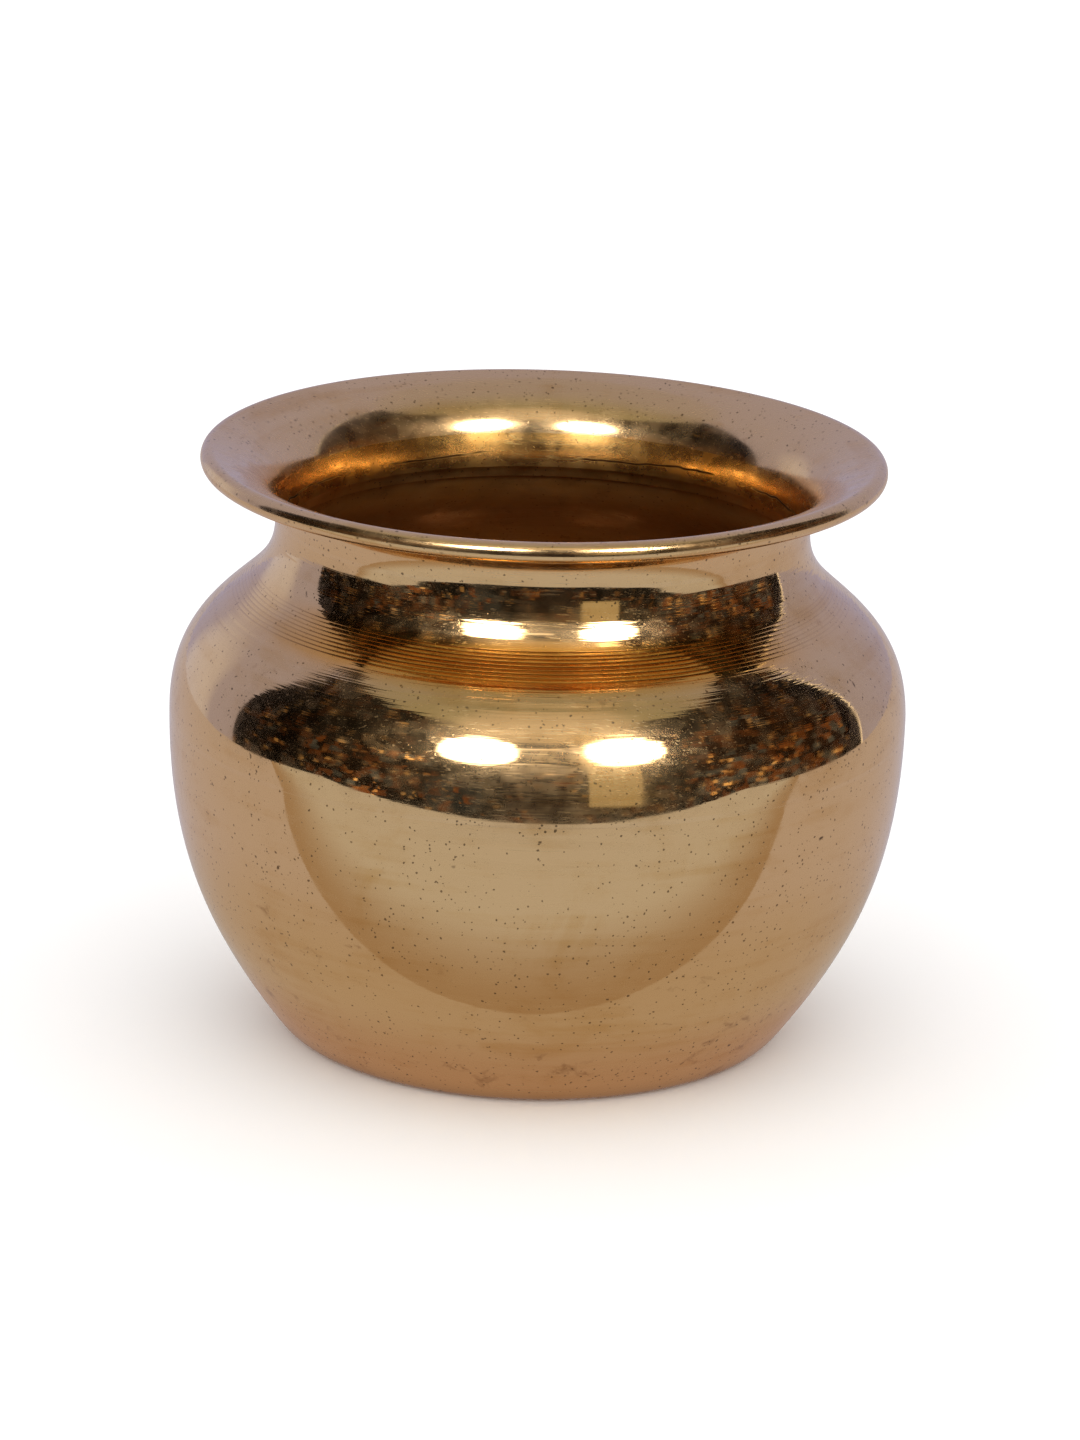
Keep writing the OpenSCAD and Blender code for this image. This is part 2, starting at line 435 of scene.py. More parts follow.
@dataclass
class Weave:
    """The nodes that a finish is built from, with the coordinates that its patterns read.

    Place is the object's own, in metres. Turned is the way round the pot, as a cosine and a
    sine, with millimetres along the section. Height is in metres.
    """

    tree: bpy.types.NodeTree
    place: bpy.types.NodeSocket
    turned: bpy.types.NodeSocket
    height: bpy.types.NodeSocket

    @classmethod
    def on(cls, material: bpy.types.Material) -> "Weave":
        """Starts a material's nodes.

        Args:
            material: The material, whose nodes are cleared.

        Returns:
            The weave on it.
        """
        tree = material.node_tree
        tree.nodes.clear()
        place = add_node(tree, "ShaderNodeTexCoord").outputs["Object"]
        flat = add_node(tree, "ShaderNodeVectorMath", {"operation": "MULTIPLY"},
                        {0: place, 1: (1, 1, 0)})
        way = add_node(tree, "ShaderNodeVectorMath", {"operation": "NORMALIZE"},
                       {0: flat.outputs[0]})
        ring = add_node(tree, "ShaderNodeSeparateXYZ", inputs={0: way.outputs[0]})
        along = add_node(tree, "ShaderNodeAttribute", {"attribute_name": ALONG})
        turned = add_node(tree, "ShaderNodeCombineXYZ", inputs={
            0: ring.outputs[0], 1: ring.outputs[1], 2: along.outputs["Fac"]})
        height = add_node(tree, "ShaderNodeSeparateXYZ", inputs={0: place})
        return cls(tree, place, turned.outputs[0], height.outputs[2])

    def vector(self, operation: str, a: object, b: object = (0, 0, 0)) -> bpy.types.NodeSocket:
        """Returns a sum, product or the like of one or two vectors."""
        node = add_node(self.tree, "ShaderNodeVectorMath", {"operation": operation}, {0: a, 1: b})
        return node.outputs[0]

    def number(self, operation: str, a: object, b: object = 0.0) -> bpy.types.NodeSocket:
        """Returns a sum, product or the like of one or two numbers."""
        node = add_node(self.tree, "ShaderNodeMath", {"operation": operation}, {0: a, 1: b})
        return node.outputs[0]

    def noise(self, where: bpy.types.NodeSocket, scale: tuple[float, float, float],
              detail: float = 2.0, roughness: float = 0.5, distortion: float = 0.0,
              shift: tuple[float, float, float] = (0, 0, 0)) -> bpy.types.NodeSocket:
        """Returns noise that repeats scale times a unit of its coordinates.

        Args:
            where: The coordinates it reads.
            scale: Features per unit along each of them.
            detail: Octaves of finer noise.
            roughness: How strong the finer octaves are.
            distortion: How much it is stirred.
            shift: An offset, so that two layers differ.

        Returns:
            Noise from zero to one, mostly near a half.
        """
        placed = add_node(self.tree, "ShaderNodeMapping", inputs={
            "Vector": where, "Scale": scale, "Location": shift})
        node = add_node(self.tree, "ShaderNodeTexNoise", inputs={
            "Vector": placed.outputs[0], "Scale": 1.0, "Detail": detail,
            "Roughness": roughness, "Distortion": distortion})
        return node.outputs[0]

    def ramp(self, value: bpy.types.NodeSocket, low: float, high: float,
             start: float = 0.0, end: float = 1.0) -> bpy.types.NodeSocket:
        """Returns a value eased from start to end while it goes from low to high."""
        node = add_node(self.tree, "ShaderNodeMapRange", {"interpolation_type": "SMOOTHSTEP"}, {
            "Value": value, "From Min": low, "From Max": high, "To Min": start, "To Max": end})
        return node.outputs[0]

    def by_height(self, low: float, high: float, start: float = 0.0,
                  end: float = 1.0) -> bpy.types.NodeSocket:
        """Returns a value eased from start to end between two heights in millimetres."""
        return self.ramp(self.height, low * MM, high * MM, start, end)

    def grain(self, size: float, detail: float, roughness: float = 0.5, distortion: float = 0.0,
              shift: tuple[float, float, float] = (0, 0, 0)) -> bpy.types.NodeSocket:
        """Returns noise on place whose features are as large as size, in millimetres."""
        return self.noise(self.place, (1 / (size * MM),) * 3, detail, roughness, distortion, shift)

    def facing(self) -> bpy.types.NodeSocket:
        """Returns how far a point lies to the front or back: one there, zero at the sides."""
        ring = add_node(self.tree, "ShaderNodeSeparateXYZ", inputs={0: self.turned})
        return self.number("ABSOLUTE", ring.outputs[1])

    def mix(self, share: object, a: object, b: object) -> bpy.types.NodeSocket:
        """Returns colour a turned into colour b by a share."""
        node = add_node(self.tree, "ShaderNodeMix", {"data_type": "RGBA"},
                        {0: share, 6: a, 7: b})
        return node.outputs[2]

    def bump(self, height: bpy.types.NodeSocket, depth: float,
             under: bpy.types.NodeSocket | None = None) -> bpy.types.NodeSocket:
        """Tilts the surface by a height pattern.

        Args:
            height: The pattern, from zero to one.
            depth: How deep it is, in millimetres.
            under: A normal that is already tilted.

        Returns:
            The tilted normal.
        """
        inputs = {"Height": height, "Distance": depth * MM, "Strength": 1.0}
        if under is not None:
            inputs["Normal"] = under
        return add_node(self.tree, "ShaderNodeBump", inputs=inputs).outputs[0]

    def stirred(self, size: float, amount: float, shift: float = 0.0) -> bpy.types.NodeSocket:
        """Returns object place shifted about by noise, so that shapes drawn on it turn ragged.

        Args:
            size: Size of the noise's features, in millimetres.
            amount: How far it moves a point, in millimetres.
            shift: An offset in metres, so that two layers differ.

        Returns:
            The shifted place.
        """
        placed = self.vector("ADD", self.place, (shift, shift, shift))
        noise = add_node(self.tree, "ShaderNodeTexNoise", inputs={
            "Vector": placed, "Scale": 1 / (size * MM), "Detail": 2.0})
        centred = self.vector("SUBTRACT", noise.outputs["Color"], (0.5, 0.5, 0.5))
        return self.vector("ADD", placed, self.vector("MULTIPLY", centred, (amount * MM,) * 3))

    def specks(self, pits: Pits, keep: float) -> bpy.types.NodeSocket:
        """Returns scattered ragged specks that gather in loose clusters.

        Args:
            pits: Their spacing and size.
            keep: Share of the places that hold one.

        Returns:
            One on a speck, falling to zero round it.
        """
        keep *= pits.share
        cells = add_node(self.tree, "ShaderNodeTexVoronoi", inputs={
            "Vector": self.stirred(pits.cell * 0.6, pits.cell * 0.5, pits.shift),
            "Scale": 1 / (pits.cell * MM)})
        chosen = add_node(self.tree, "ShaderNodeSeparateColor",
                          inputs={0: cells.outputs["Color"]})
        gather = self.grain(9, 2.0, shift=(pits.shift * 50 + 1, 3, 8))
        kept = self.ramp(gather, 0.35, 0.65, keep * 0.3, keep * 1.8)
        here = self.number("LESS_THAN", chosen.outputs[0], kept)
        radius = self.number("MULTIPLY", chosen.outputs[1], pits.size)
        beyond = self.number("SUBTRACT", cells.outputs["Distance"], radius)
        return self.number("MULTIPLY", here, self.ramp(beyond, -0.05, 0.02, 1, 0))

    def scratches(self, cuts: Sequence[Cut]) -> bpy.types.NodeSocket:
        """Returns thin straight scratches that taper at their ends.

        Args:
            cuts: The ways that they run.

        Returns:
            One on a scratch and zero between them.
        """
        crossed = None
        for cut in cuts:
            placed = add_node(self.tree, "ShaderNodeMapping", inputs={
                "Vector": self.place, "Rotation": tuple(math.radians(a) for a in cut.turn),
                "Scale": (1 / (cut.length * MM), 1 / (cut.width * MM), 1 / (cut.width * MM)),
                "Location": (cut.shift, cut.shift, cut.shift)})
            noise = add_node(self.tree, "ShaderNodeTexNoise", inputs={
                "Vector": placed.outputs[0], "Scale": 1.0, "Detail": 0.0})
            line = self.ramp(noise.outputs[0], cut.few, cut.few + 0.05)
            crossed = line if crossed is None else self.number("MAXIMUM", crossed, line)
        return crossed


# Small pits are up to half a millimetre across and large ones a millimetre. Scratches are drawn
# 0.1 mm wide, coarser than real ones, because finer ones don't show.
SMALL_PITS = (Pits(1.3, 1.0, 0.2), Pits(0.8, 0.7, 0.26, 0.3))
LARGE_PITS = Pits(5.0, 0.7, 0.1, 0.6)
HANDLING_CUTS = (Cut((0, 6, 0), 0.3, 45, 0.74), Cut((0, 35, 20), 0.3, 34, 0.76, 3.0),
                 Cut((0, -28, -15), 0.3, 34, 0.76, 7.0), Cut((15, 70, 0), 0.3, 34, 0.76, 11.0))
RUBBING_CUTS = (Cut((0, 12, 0), 0.28, 9, 0.5), Cut((0, 40, 15), 0.28, 7, 0.56, 2.0),
                Cut((0, -38, -10), 0.28, 7, 0.56, 6.0), Cut((0, 68, 0), 0.28, 7, 0.56, 9.0))
WIPING_STREAKS = (Cut((0, 55, -20), 2.2, 26, 0.55, 5.0),)


@dataclass(frozen=True)
class Patterns:
    """The patterns that a turned finish's colour, roughness, haze and relief share."""

    patches: bpy.types.NodeSocket
    mottle: bpy.types.NodeSocket
    tarnish: bpy.types.NodeSocket
    marks: bpy.types.NodeSocket


@dataclass(frozen=True)
class TurnedBrass:
    """Sheet brass spun on a lathe and polished there.

    What the eye gets from that: sharp reflections, whose edges the tool's fine lines drag out
    round the pot; a thin haze, straight scratches, brown pits and a slow warm tarnish from
    handling; and dirt with painted shade in the turned grooves, which draws them as thin brown
    lines, in a band of painted amber reflection.

    Sizes and heights are millimetres. Real tool and polishing lines are mostly finer than a
    tenth of a millimetre; line_pitch draws them coarser, because finer ones don't show.
    """

    name: str
    bright: str = "#E8C089"
    warm: str = "#DAAB6C"
    stain: str = "#40250F"
    smudge: str = "#8A5A2E"
    painted_amber_reflection: str = "#E8A23E"
    band_dirt_and_shade: str = "#5E3014"
    # Colour of the painted shade that darkens the inside further down; empty for none.
    painted_deep_shade: str = ""
    roughness: tuple[float, float] = (0.03, 0.09)
    hazy_roughness: tuple[float, float] = (0.26, 0.4)
    haze: tuple[float, float] = (0.03, 0.12)
    scratch_haze: float = 0.3
    streak_haze: float = 0.12
    rub_haze: float = 0.26
    rub_place: tuple[float, float, float] = (5, -62, 60)
    rub_reach: tuple[float, float] = (6, 30)
    line_pitch: float = 0.5
    line_depth: float = 0.0015
    drag_pitch: float = 0.7
    drag_elsewhere: float = 0.06
    smear_pitch: float = 3.0
    neck_depth: float = 0.05
    neck_from: tuple[float, float] = (60, 78)
    neck_until: tuple[float, float] = (85.5, 88.2)
    dent_size: float = 16.0
    dent_depth: float = 0.10
    pit_depth: float = 0.004
    patch_size: float = 20.0
    mottle_size: float = 4.0
    speck_keep: float = 0.8
    tarnish: tuple[float, float] = (0.46, 0.72)
    groove_band: tuple[float, float, float] | None = None
    seam_h: float = 0.0
    seam_wander: float = 4.0
    seam_line: tuple[float, float] = (0.08, 0.3)

    def seam_dirt(self, weave: Weave) -> bpy.types.NodeSocket:
        """Draws the broken dark line that wavers round the throat where the sheets overlap.

        Args:
            weave: The material's nodes.

        Returns:
            One on the line and zero off it.
        """
        wander = weave.noise(weave.turned, (2.2, 2.2, 0.0), 3.0, 0.6, shift=(2, 6, 1))
        wander = weave.number("SUBTRACT", wander, 0.5)
        line = weave.number("ADD", weave.number("MULTIPLY", wander, self.seam_wander * MM),
                            self.seam_h * MM)
        off = weave.number("ABSOLUTE", weave.number("SUBTRACT", weave.height, line))
        thin = weave.ramp(off, self.seam_line[0] * MM, self.seam_line[1] * MM, 1, 0)
        broken = weave.noise(weave.turned, (3.5, 3.5, 0.5), 2.0, shift=(8, 1, 3))
        return weave.number("MULTIPLY", thin, weave.ramp(broken, 0.42, 0.55))

    def groove_dirt_and_shade(self, weave: Weave) -> bpy.types.NodeSocket:
        """Draws dirt and painted shade in the turned grooves, less of it at the pot's sides.

        Args:
            weave: The material's nodes.

        Returns:
            One at the bottom of each groove and zero on the lands.
        """
        low, high, pitch = self.groove_band
        turns = weave.number("MULTIPLY", weave.number("SUBTRACT", weave.height, high * MM),
                             math.tau / (pitch * MM))
        wave = weave.number("MULTIPLY", weave.number("COSINE", turns), -1.0)
        inside = weave.number("MULTIPLY", weave.number("GREATER_THAN", weave.height, low * MM),
                              weave.number("LESS_THAN", weave.height, high * MM))
        worn = weave.noise(weave.turned, (1.5, 1.5, 1.3), 2.0, shift=(9, 2, 4))
        kept = weave.ramp(weave.facing(), 0.45, 0.85, 0.12, 0.9)
        kept = weave.number("MULTIPLY", kept, weave.ramp(worn, 0.35, 0.55, 0.5, 1.0))
        return weave.number("MULTIPLY", weave.ramp(wave, 0.2, 0.9),
                            weave.number("MULTIPLY", inside, kept))

    def amber(self, weave: Weave) -> bpy.types.NodeSocket:
        """Paints the amber reflection that light bounced twice in the grooves gives their band.

        Args:
            weave: The material's nodes.

        Returns:
            How far the band has turned amber, less at the pot's sides.
        """
        low, high, _ = self.groove_band
        band = weave.number("MULTIPLY", weave.by_height(low - 2.5, low + 0.5),
                            weave.by_height(high - 0.5, high + 2, 1, 0))
        return weave.number("MULTIPLY", band, weave.ramp(weave.facing(), 0.5, 0.8, 0.1, 0.9))

    def rubbed(self, weave: Weave) -> bpy.types.NodeSocket:
        """Draws the patch at the front of the shoulder that rubbing has left hazy.

        Args:
            weave: The material's nodes.

        Returns:
            One where it is haziest and zero outside it.
        """
        spot = weave.vector("SUBTRACT", weave.place, tuple(mm * MM for mm in self.rub_place))
        away = add_node(weave.tree, "ShaderNodeVectorMath", {"operation": "LENGTH"},
                        {0: weave.vector("MULTIPLY", spot, (1, 1, 2))}).outputs["Value"]
        near, far = self.rub_reach
        ragged = weave.grain(5, 4.0, 0.65, shift=(4, 4, 9))
        worn = weave.number("MULTIPLY", weave.ramp(away, near * MM, far * MM, 1, 0),
                            weave.ramp(ragged, 0.3, 0.65, 0.35, 1))
        crossed = weave.scratches(RUBBING_CUTS)
        return weave.number("MULTIPLY", worn, weave.ramp(crossed, 0, 1, 0.4, 1.0))

    def smudges(self, weave: Weave) -> bpy.types.NodeSocket:
        """Draws the brown smudges that handling has left, most of them low on the wall.

        Args:
            weave: The material's nodes.

        Returns:
            One in the middle of a smudge and zero between them.
        """
        across, upward = 1 / (9 * MM), 1 / (6 * MM)
        drawn = weave.noise(weave.stirred(3.0, 3.0, 0.2), (across, across, upward), 4.0, 0.7,
                            shift=(2, 9, 5))
        low = weave.by_height(8, 40, 0.09, 0.0)
        return weave.ramp(weave.number("ADD", drawn, low), 0.66, 0.8)

    def marks(self, weave: Weave) -> bpy.types.NodeSocket:
        """Draws the pits: many fine ones, and a few larger and darker ones.

        Args:
            weave: The material's nodes.

        Returns:
            One in a large pit, a little less in a fine one, and zero between them.
        """
        finer, finest = (weave.specks(pits, self.speck_keep) for pits in SMALL_PITS)
        fine = weave.number("MULTIPLY", weave.number("MAXIMUM", finer, finest), 0.8)
        return weave.number("MAXIMUM", fine, weave.specks(LARGE_PITS, self.speck_keep))

    def patterns(self, weave: Weave) -> Patterns:
        """Draws the patterns that the finish's parts share.

        Args:
            weave: The material's nodes.

        Returns:
            The patterns.
        """
        smear = weave.noise(weave.turned, (1.3, 1.3, 1 / self.smear_pitch), 3.0, 0.6,
                            shift=(5, 5, 2))
        patches = weave.grain(self.patch_size, 5.0, 0.65, 0.6)
        both = weave.number("ADD", weave.number("MULTIPLY", patches, 0.6),
                            weave.number("MULTIPLY", smear, 0.4))
        mottle = weave.grain(self.mottle_size, 3.0, 0.6, shift=(7, 0, 3))
        return Patterns(patches, mottle, weave.ramp(both, *self.tarnish), self.marks(weave))

    def relief(self, weave: Weave, marks: bpy.types.NodeSocket) -> bpy.types.NodeSocket:
        """Tilts the surface by slow dents, the tool's coarse and fine lines, and the pits.

        Args:
            weave: The material's nodes.
            marks: The pits.

        Returns:
            The tilted normal.
        """
        fine = weave.noise(weave.turned, (1.6, 1.6, 1 / self.line_pitch), 3.0, 0.6)
        drag = weave.noise(weave.turned, (0.8, 0.8, 1 / self.drag_pitch), 2.0, 0.6,
                           shift=(3, 1, 7))
        at_neck = weave.number("MULTIPLY", weave.by_height(*self.neck_from),
                               weave.by_height(*self.neck_until, 1, 0))
        if self.groove_band:
            low, high, _ = self.groove_band
            band = weave.number("MULTIPLY", weave.by_height(low - 1, low),
                                weave.by_height(high, high + 1, 1, 0))
            at_neck = weave.number("MULTIPLY", at_neck, weave.ramp(band, 0, 1, 1, 0.25))
        coarse = weave.number("MULTIPLY", drag,
                              weave.number("ADD", at_neck, self.drag_elsewhere))
        normal = weave.bump(weave.grain(self.dent_size, 1.0, shift=(1, 4, 2)), self.dent_depth)
        normal = weave.bump(coarse, self.neck_depth, normal)
        normal = weave.bump(fine, self.line_depth, normal)
        return weave.bump(weave.number("MULTIPLY", marks, -1.0), self.pit_depth, normal)

    def skin(self, weave: Weave,
             shared: Patterns) -> tuple[bpy.types.NodeSocket, bpy.types.NodeSocket]:
        """Colours the surface and sets how rough its sharp part is.

        Args:
            weave: The material's nodes.
            shared: The finish's patterns.

        Returns:
            Its colour and its roughness.
        """
        colour = weave.mix(shared.tarnish, rgb(self.bright), rgb(self.warm))
        colour = weave.mix(weave.number("MULTIPLY", self.smudges(weave), 0.5), colour,
                           rgb(self.smudge))
        colour = weave.mix(weave.number("MULTIPLY", shared.marks, 0.85), colour, rgb(self.stain))
        rough = weave.ramp(shared.mottle, 0.3, 0.75, *self.roughness)
        rough = weave.number("ADD", rough, weave.number("MULTIPLY", shared.tarnish, 0.05))
        rough = weave.number("ADD", rough, weave.number("MULTIPLY", shared.marks, 0.2))
        # Painted shade: darker and browner further down inside, where less light reaches.
        if self.painted_deep_shade:
            rough = weave.number("ADD", rough, weave.by_height(79, 89, 0.5, 0))
            colour = weave.mix(weave.by_height(78, 89, 0.85, 0.1), colour, rgb(self.painted_deep_shade))
        if self.seam_h:
            dirt = self.seam_dirt(weave)
            colour = weave.mix(dirt, colour, rgb(self.stain))
            rough = weave.number("ADD", rough, weave.number("MULTIPLY", dirt, 0.3))
        if self.groove_band:
            # Painted reflection: the band turns amber, most at the pot's front and back.
            colour = weave.mix(self.amber(weave), colour, rgb(self.painted_amber_reflection))
            # Dirt with painted shade: dark brown in the groove bottoms, less at the pot's sides.
            dirt = self.groove_dirt_and_shade(weave)
            colour = weave.mix(dirt, colour, rgb(self.band_dirt_and_shade))
            rough = weave.number("ADD", rough, weave.number("MULTIPLY", dirt, 0.25))
        return colour, rough

    def hazy_share(self, weave: Weave, patches: bpy.types.NodeSocket) -> bpy.types.NodeSocket:
        """Works out how much of the surface scatters, from patches, scratches and rubbing.

        Args:
            weave: The material's nodes.
            patches: The slow patches that the haze follows.

        Returns:
            The share of the hazy part.
        """
        share = weave.ramp(patches, 0.3, 0.7, *self.haze)
        layers = [(weave.scratches(HANDLING_CUTS), self.scratch_haze),
                  (weave.scratches(WIPING_STREAKS), self.streak_haze)]
        if self.groove_band:
            layers.append((self.rubbed(weave), self.rub_haze))
        for layer, strength in layers:
            share = weave.number("ADD", share, weave.number("MULTIPLY", layer, strength))
        return share

    def material(self) -> bpy.types.Material:
        """Builds the finish's nodes: a sharp metal and a hazy one, mixed.

        Returns:
            The new material.
        """
        material = bpy.data.materials.new(self.name)
        material.use_nodes = True
        weave = Weave.on(material)
        shared = self.patterns(weave)
        colour, rough = self.skin(weave, shared)
        normal = self.relief(weave, shared.marks)
        sharp = add_node(weave.tree, "ShaderNodeBsdfPrincipled", inputs={
            "Base Color": colour, "Metallic": 1.0, "Roughness": rough, "Normal": normal})
        hazy = add_node(weave.tree, "ShaderNodeBsdfPrincipled", inputs={
            "Base Color": colour, "Metallic": 1.0, "Normal": normal,
            "Roughness": weave.ramp(shared.mottle, 0.3, 0.7, *self.hazy_roughness)})
        both = add_node(weave.tree, "ShaderNodeMixShader", inputs={
            0: self.hazy_share(weave, shared.patches), 1: sharp.outputs[0],
            2: hazy.outputs[0]})
        add_node(weave.tree, "ShaderNodeOutputMaterial", inputs={0: both.outputs[0]})
        return material


@dataclass(frozen=True)
class DrawnWire:
    """Brass wire drawn through a die.

    What the eye gets from that: a bright, slightly soft sheen with fine marks on it. Real die
    marks are some hundredths of a millimetre wide; mark_size draws them coarser, to show.
    """

    name: str = "drawn_brass_wire"
    bright: str = "#EBCB92"
    worn: str = "#C79A58"
    mark_size: float = 0.4
    mark_depth: float = 0.004
    roughness: tuple[float, float] = (0.2, 0.35)

    def material(self) -> bpy.types.Material:
        """Builds the finish's nodes.

        Returns:
            The new material.
        """
        material = bpy.data.materials.new(self.name)
        material.use_nodes = True
        weave = Weave.on(material)
        marks = weave.grain(self.mark_size, 2.0)
        colour = weave.mix(marks, rgb(self.bright), rgb(self.worn))
        shader = add_node(weave.tree, "ShaderNodeBsdfPrincipled", inputs={
            "Base Color": colour, "Metallic": 1.0,
            "Roughness": weave.ramp(marks, 0.3, 0.7, *self.roughness),
            "Normal": weave.bump(marks, self.mark_depth)})
        add_node(weave.tree, "ShaderNodeOutputMaterial", inputs={0: shader.outputs[0]})
        return material


class Finish(Enum):
    """The finishes that the pieces ask for."""

    OUTSIDE = "polished outside"
    SHOULDER = "polished outside with turned grooves"
    MOUTH = "handled mouth and lip"
    # Aged, and darkened further down by painted shade.
    INSIDE = "aged inside"
    FOOT = "scuffed foot"
    SPELTER = "flush spelter"
    WIRE = "drawn wire"


def finishes(groove_band: tuple[float, float, float]) -> dict[Finish, bpy.types.Material]:
    """Builds every finish once.

    Args:
        groove_band: Lowest and highest height of the band of grooves, and their pitch.

    Returns:
        The materials by the finish that the pieces ask for.
    """
    makers = {
        # Brass sheet, spun and polished: a clear golden mirror, drawn out a little sideways.
        Finish.OUTSIDE: TurnedBrass("polished_spun_brass"),
        # Brass sheet, spun, grooved with a tool and polished: the same mirror, cut by thin brown
        # lines of dirt and painted shade in a band of painted amber reflection.
        Finish.SHOULDER: TurnedBrass("polished_spun_brass_grooved", groove_band=groove_band),
        # Brass sheet, spun, polished and worn by hands and lids: a softer, hazier and more pitted
        # sheen.
        Finish.MOUTH: TurnedBrass("handled_spun_brass", roughness=(0.1, 0.19),
                                  haze=(0.15, 0.35), speck_keep=1.0),
        # Brass sheet, spun and left to age: blurred brown gold, duller further down and darkened
        # there by painted shade, with the dark line of the lap at the throat.
        Finish.INSIDE: TurnedBrass("aged_brass_inside_painted_shade", bright="#DDB26E", warm="#C4954F",
                                   painted_deep_shade="#94551A", roughness=(0.14, 0.26),
                                   neck_depth=0.015, tarnish=(0.35, 0.6), speck_keep=0.6,
                                   seam_h=88.1),
        # Brass sheet, spun and scuffed by what it stands on: coarse rings and no clear image.
        Finish.FOOT: TurnedBrass("scuffed_brass_foot", roughness=(0.2, 0.38), line_pitch=0.9,
                                 line_depth=0.004),
        # Brass spelter, melted into the lap, filed flush and polished with the sheet: it shows
        # only by a slightly paler gold.
        Finish.SPELTER: TurnedBrass("polished_flush_spelter", bright="#E9C28D"),
        # Brass wire, drawn: see DrawnWire.
        Finish.WIRE: DrawnWire(),
    }
    return {finish: maker.material() for finish, maker in makers.items()}


# ---------------------------------------------------------------------------------------------
# Pieces
# ---------------------------------------------------------------------------------------------


def dress(piece: bpy.types.Object, node: str,
          materials: Sequence[bpy.types.Material]) -> None:
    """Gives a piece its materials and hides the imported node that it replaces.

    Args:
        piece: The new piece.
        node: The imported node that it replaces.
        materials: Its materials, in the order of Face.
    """
    for material in materials:
        piece.data.materials.append(material)
    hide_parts(node)


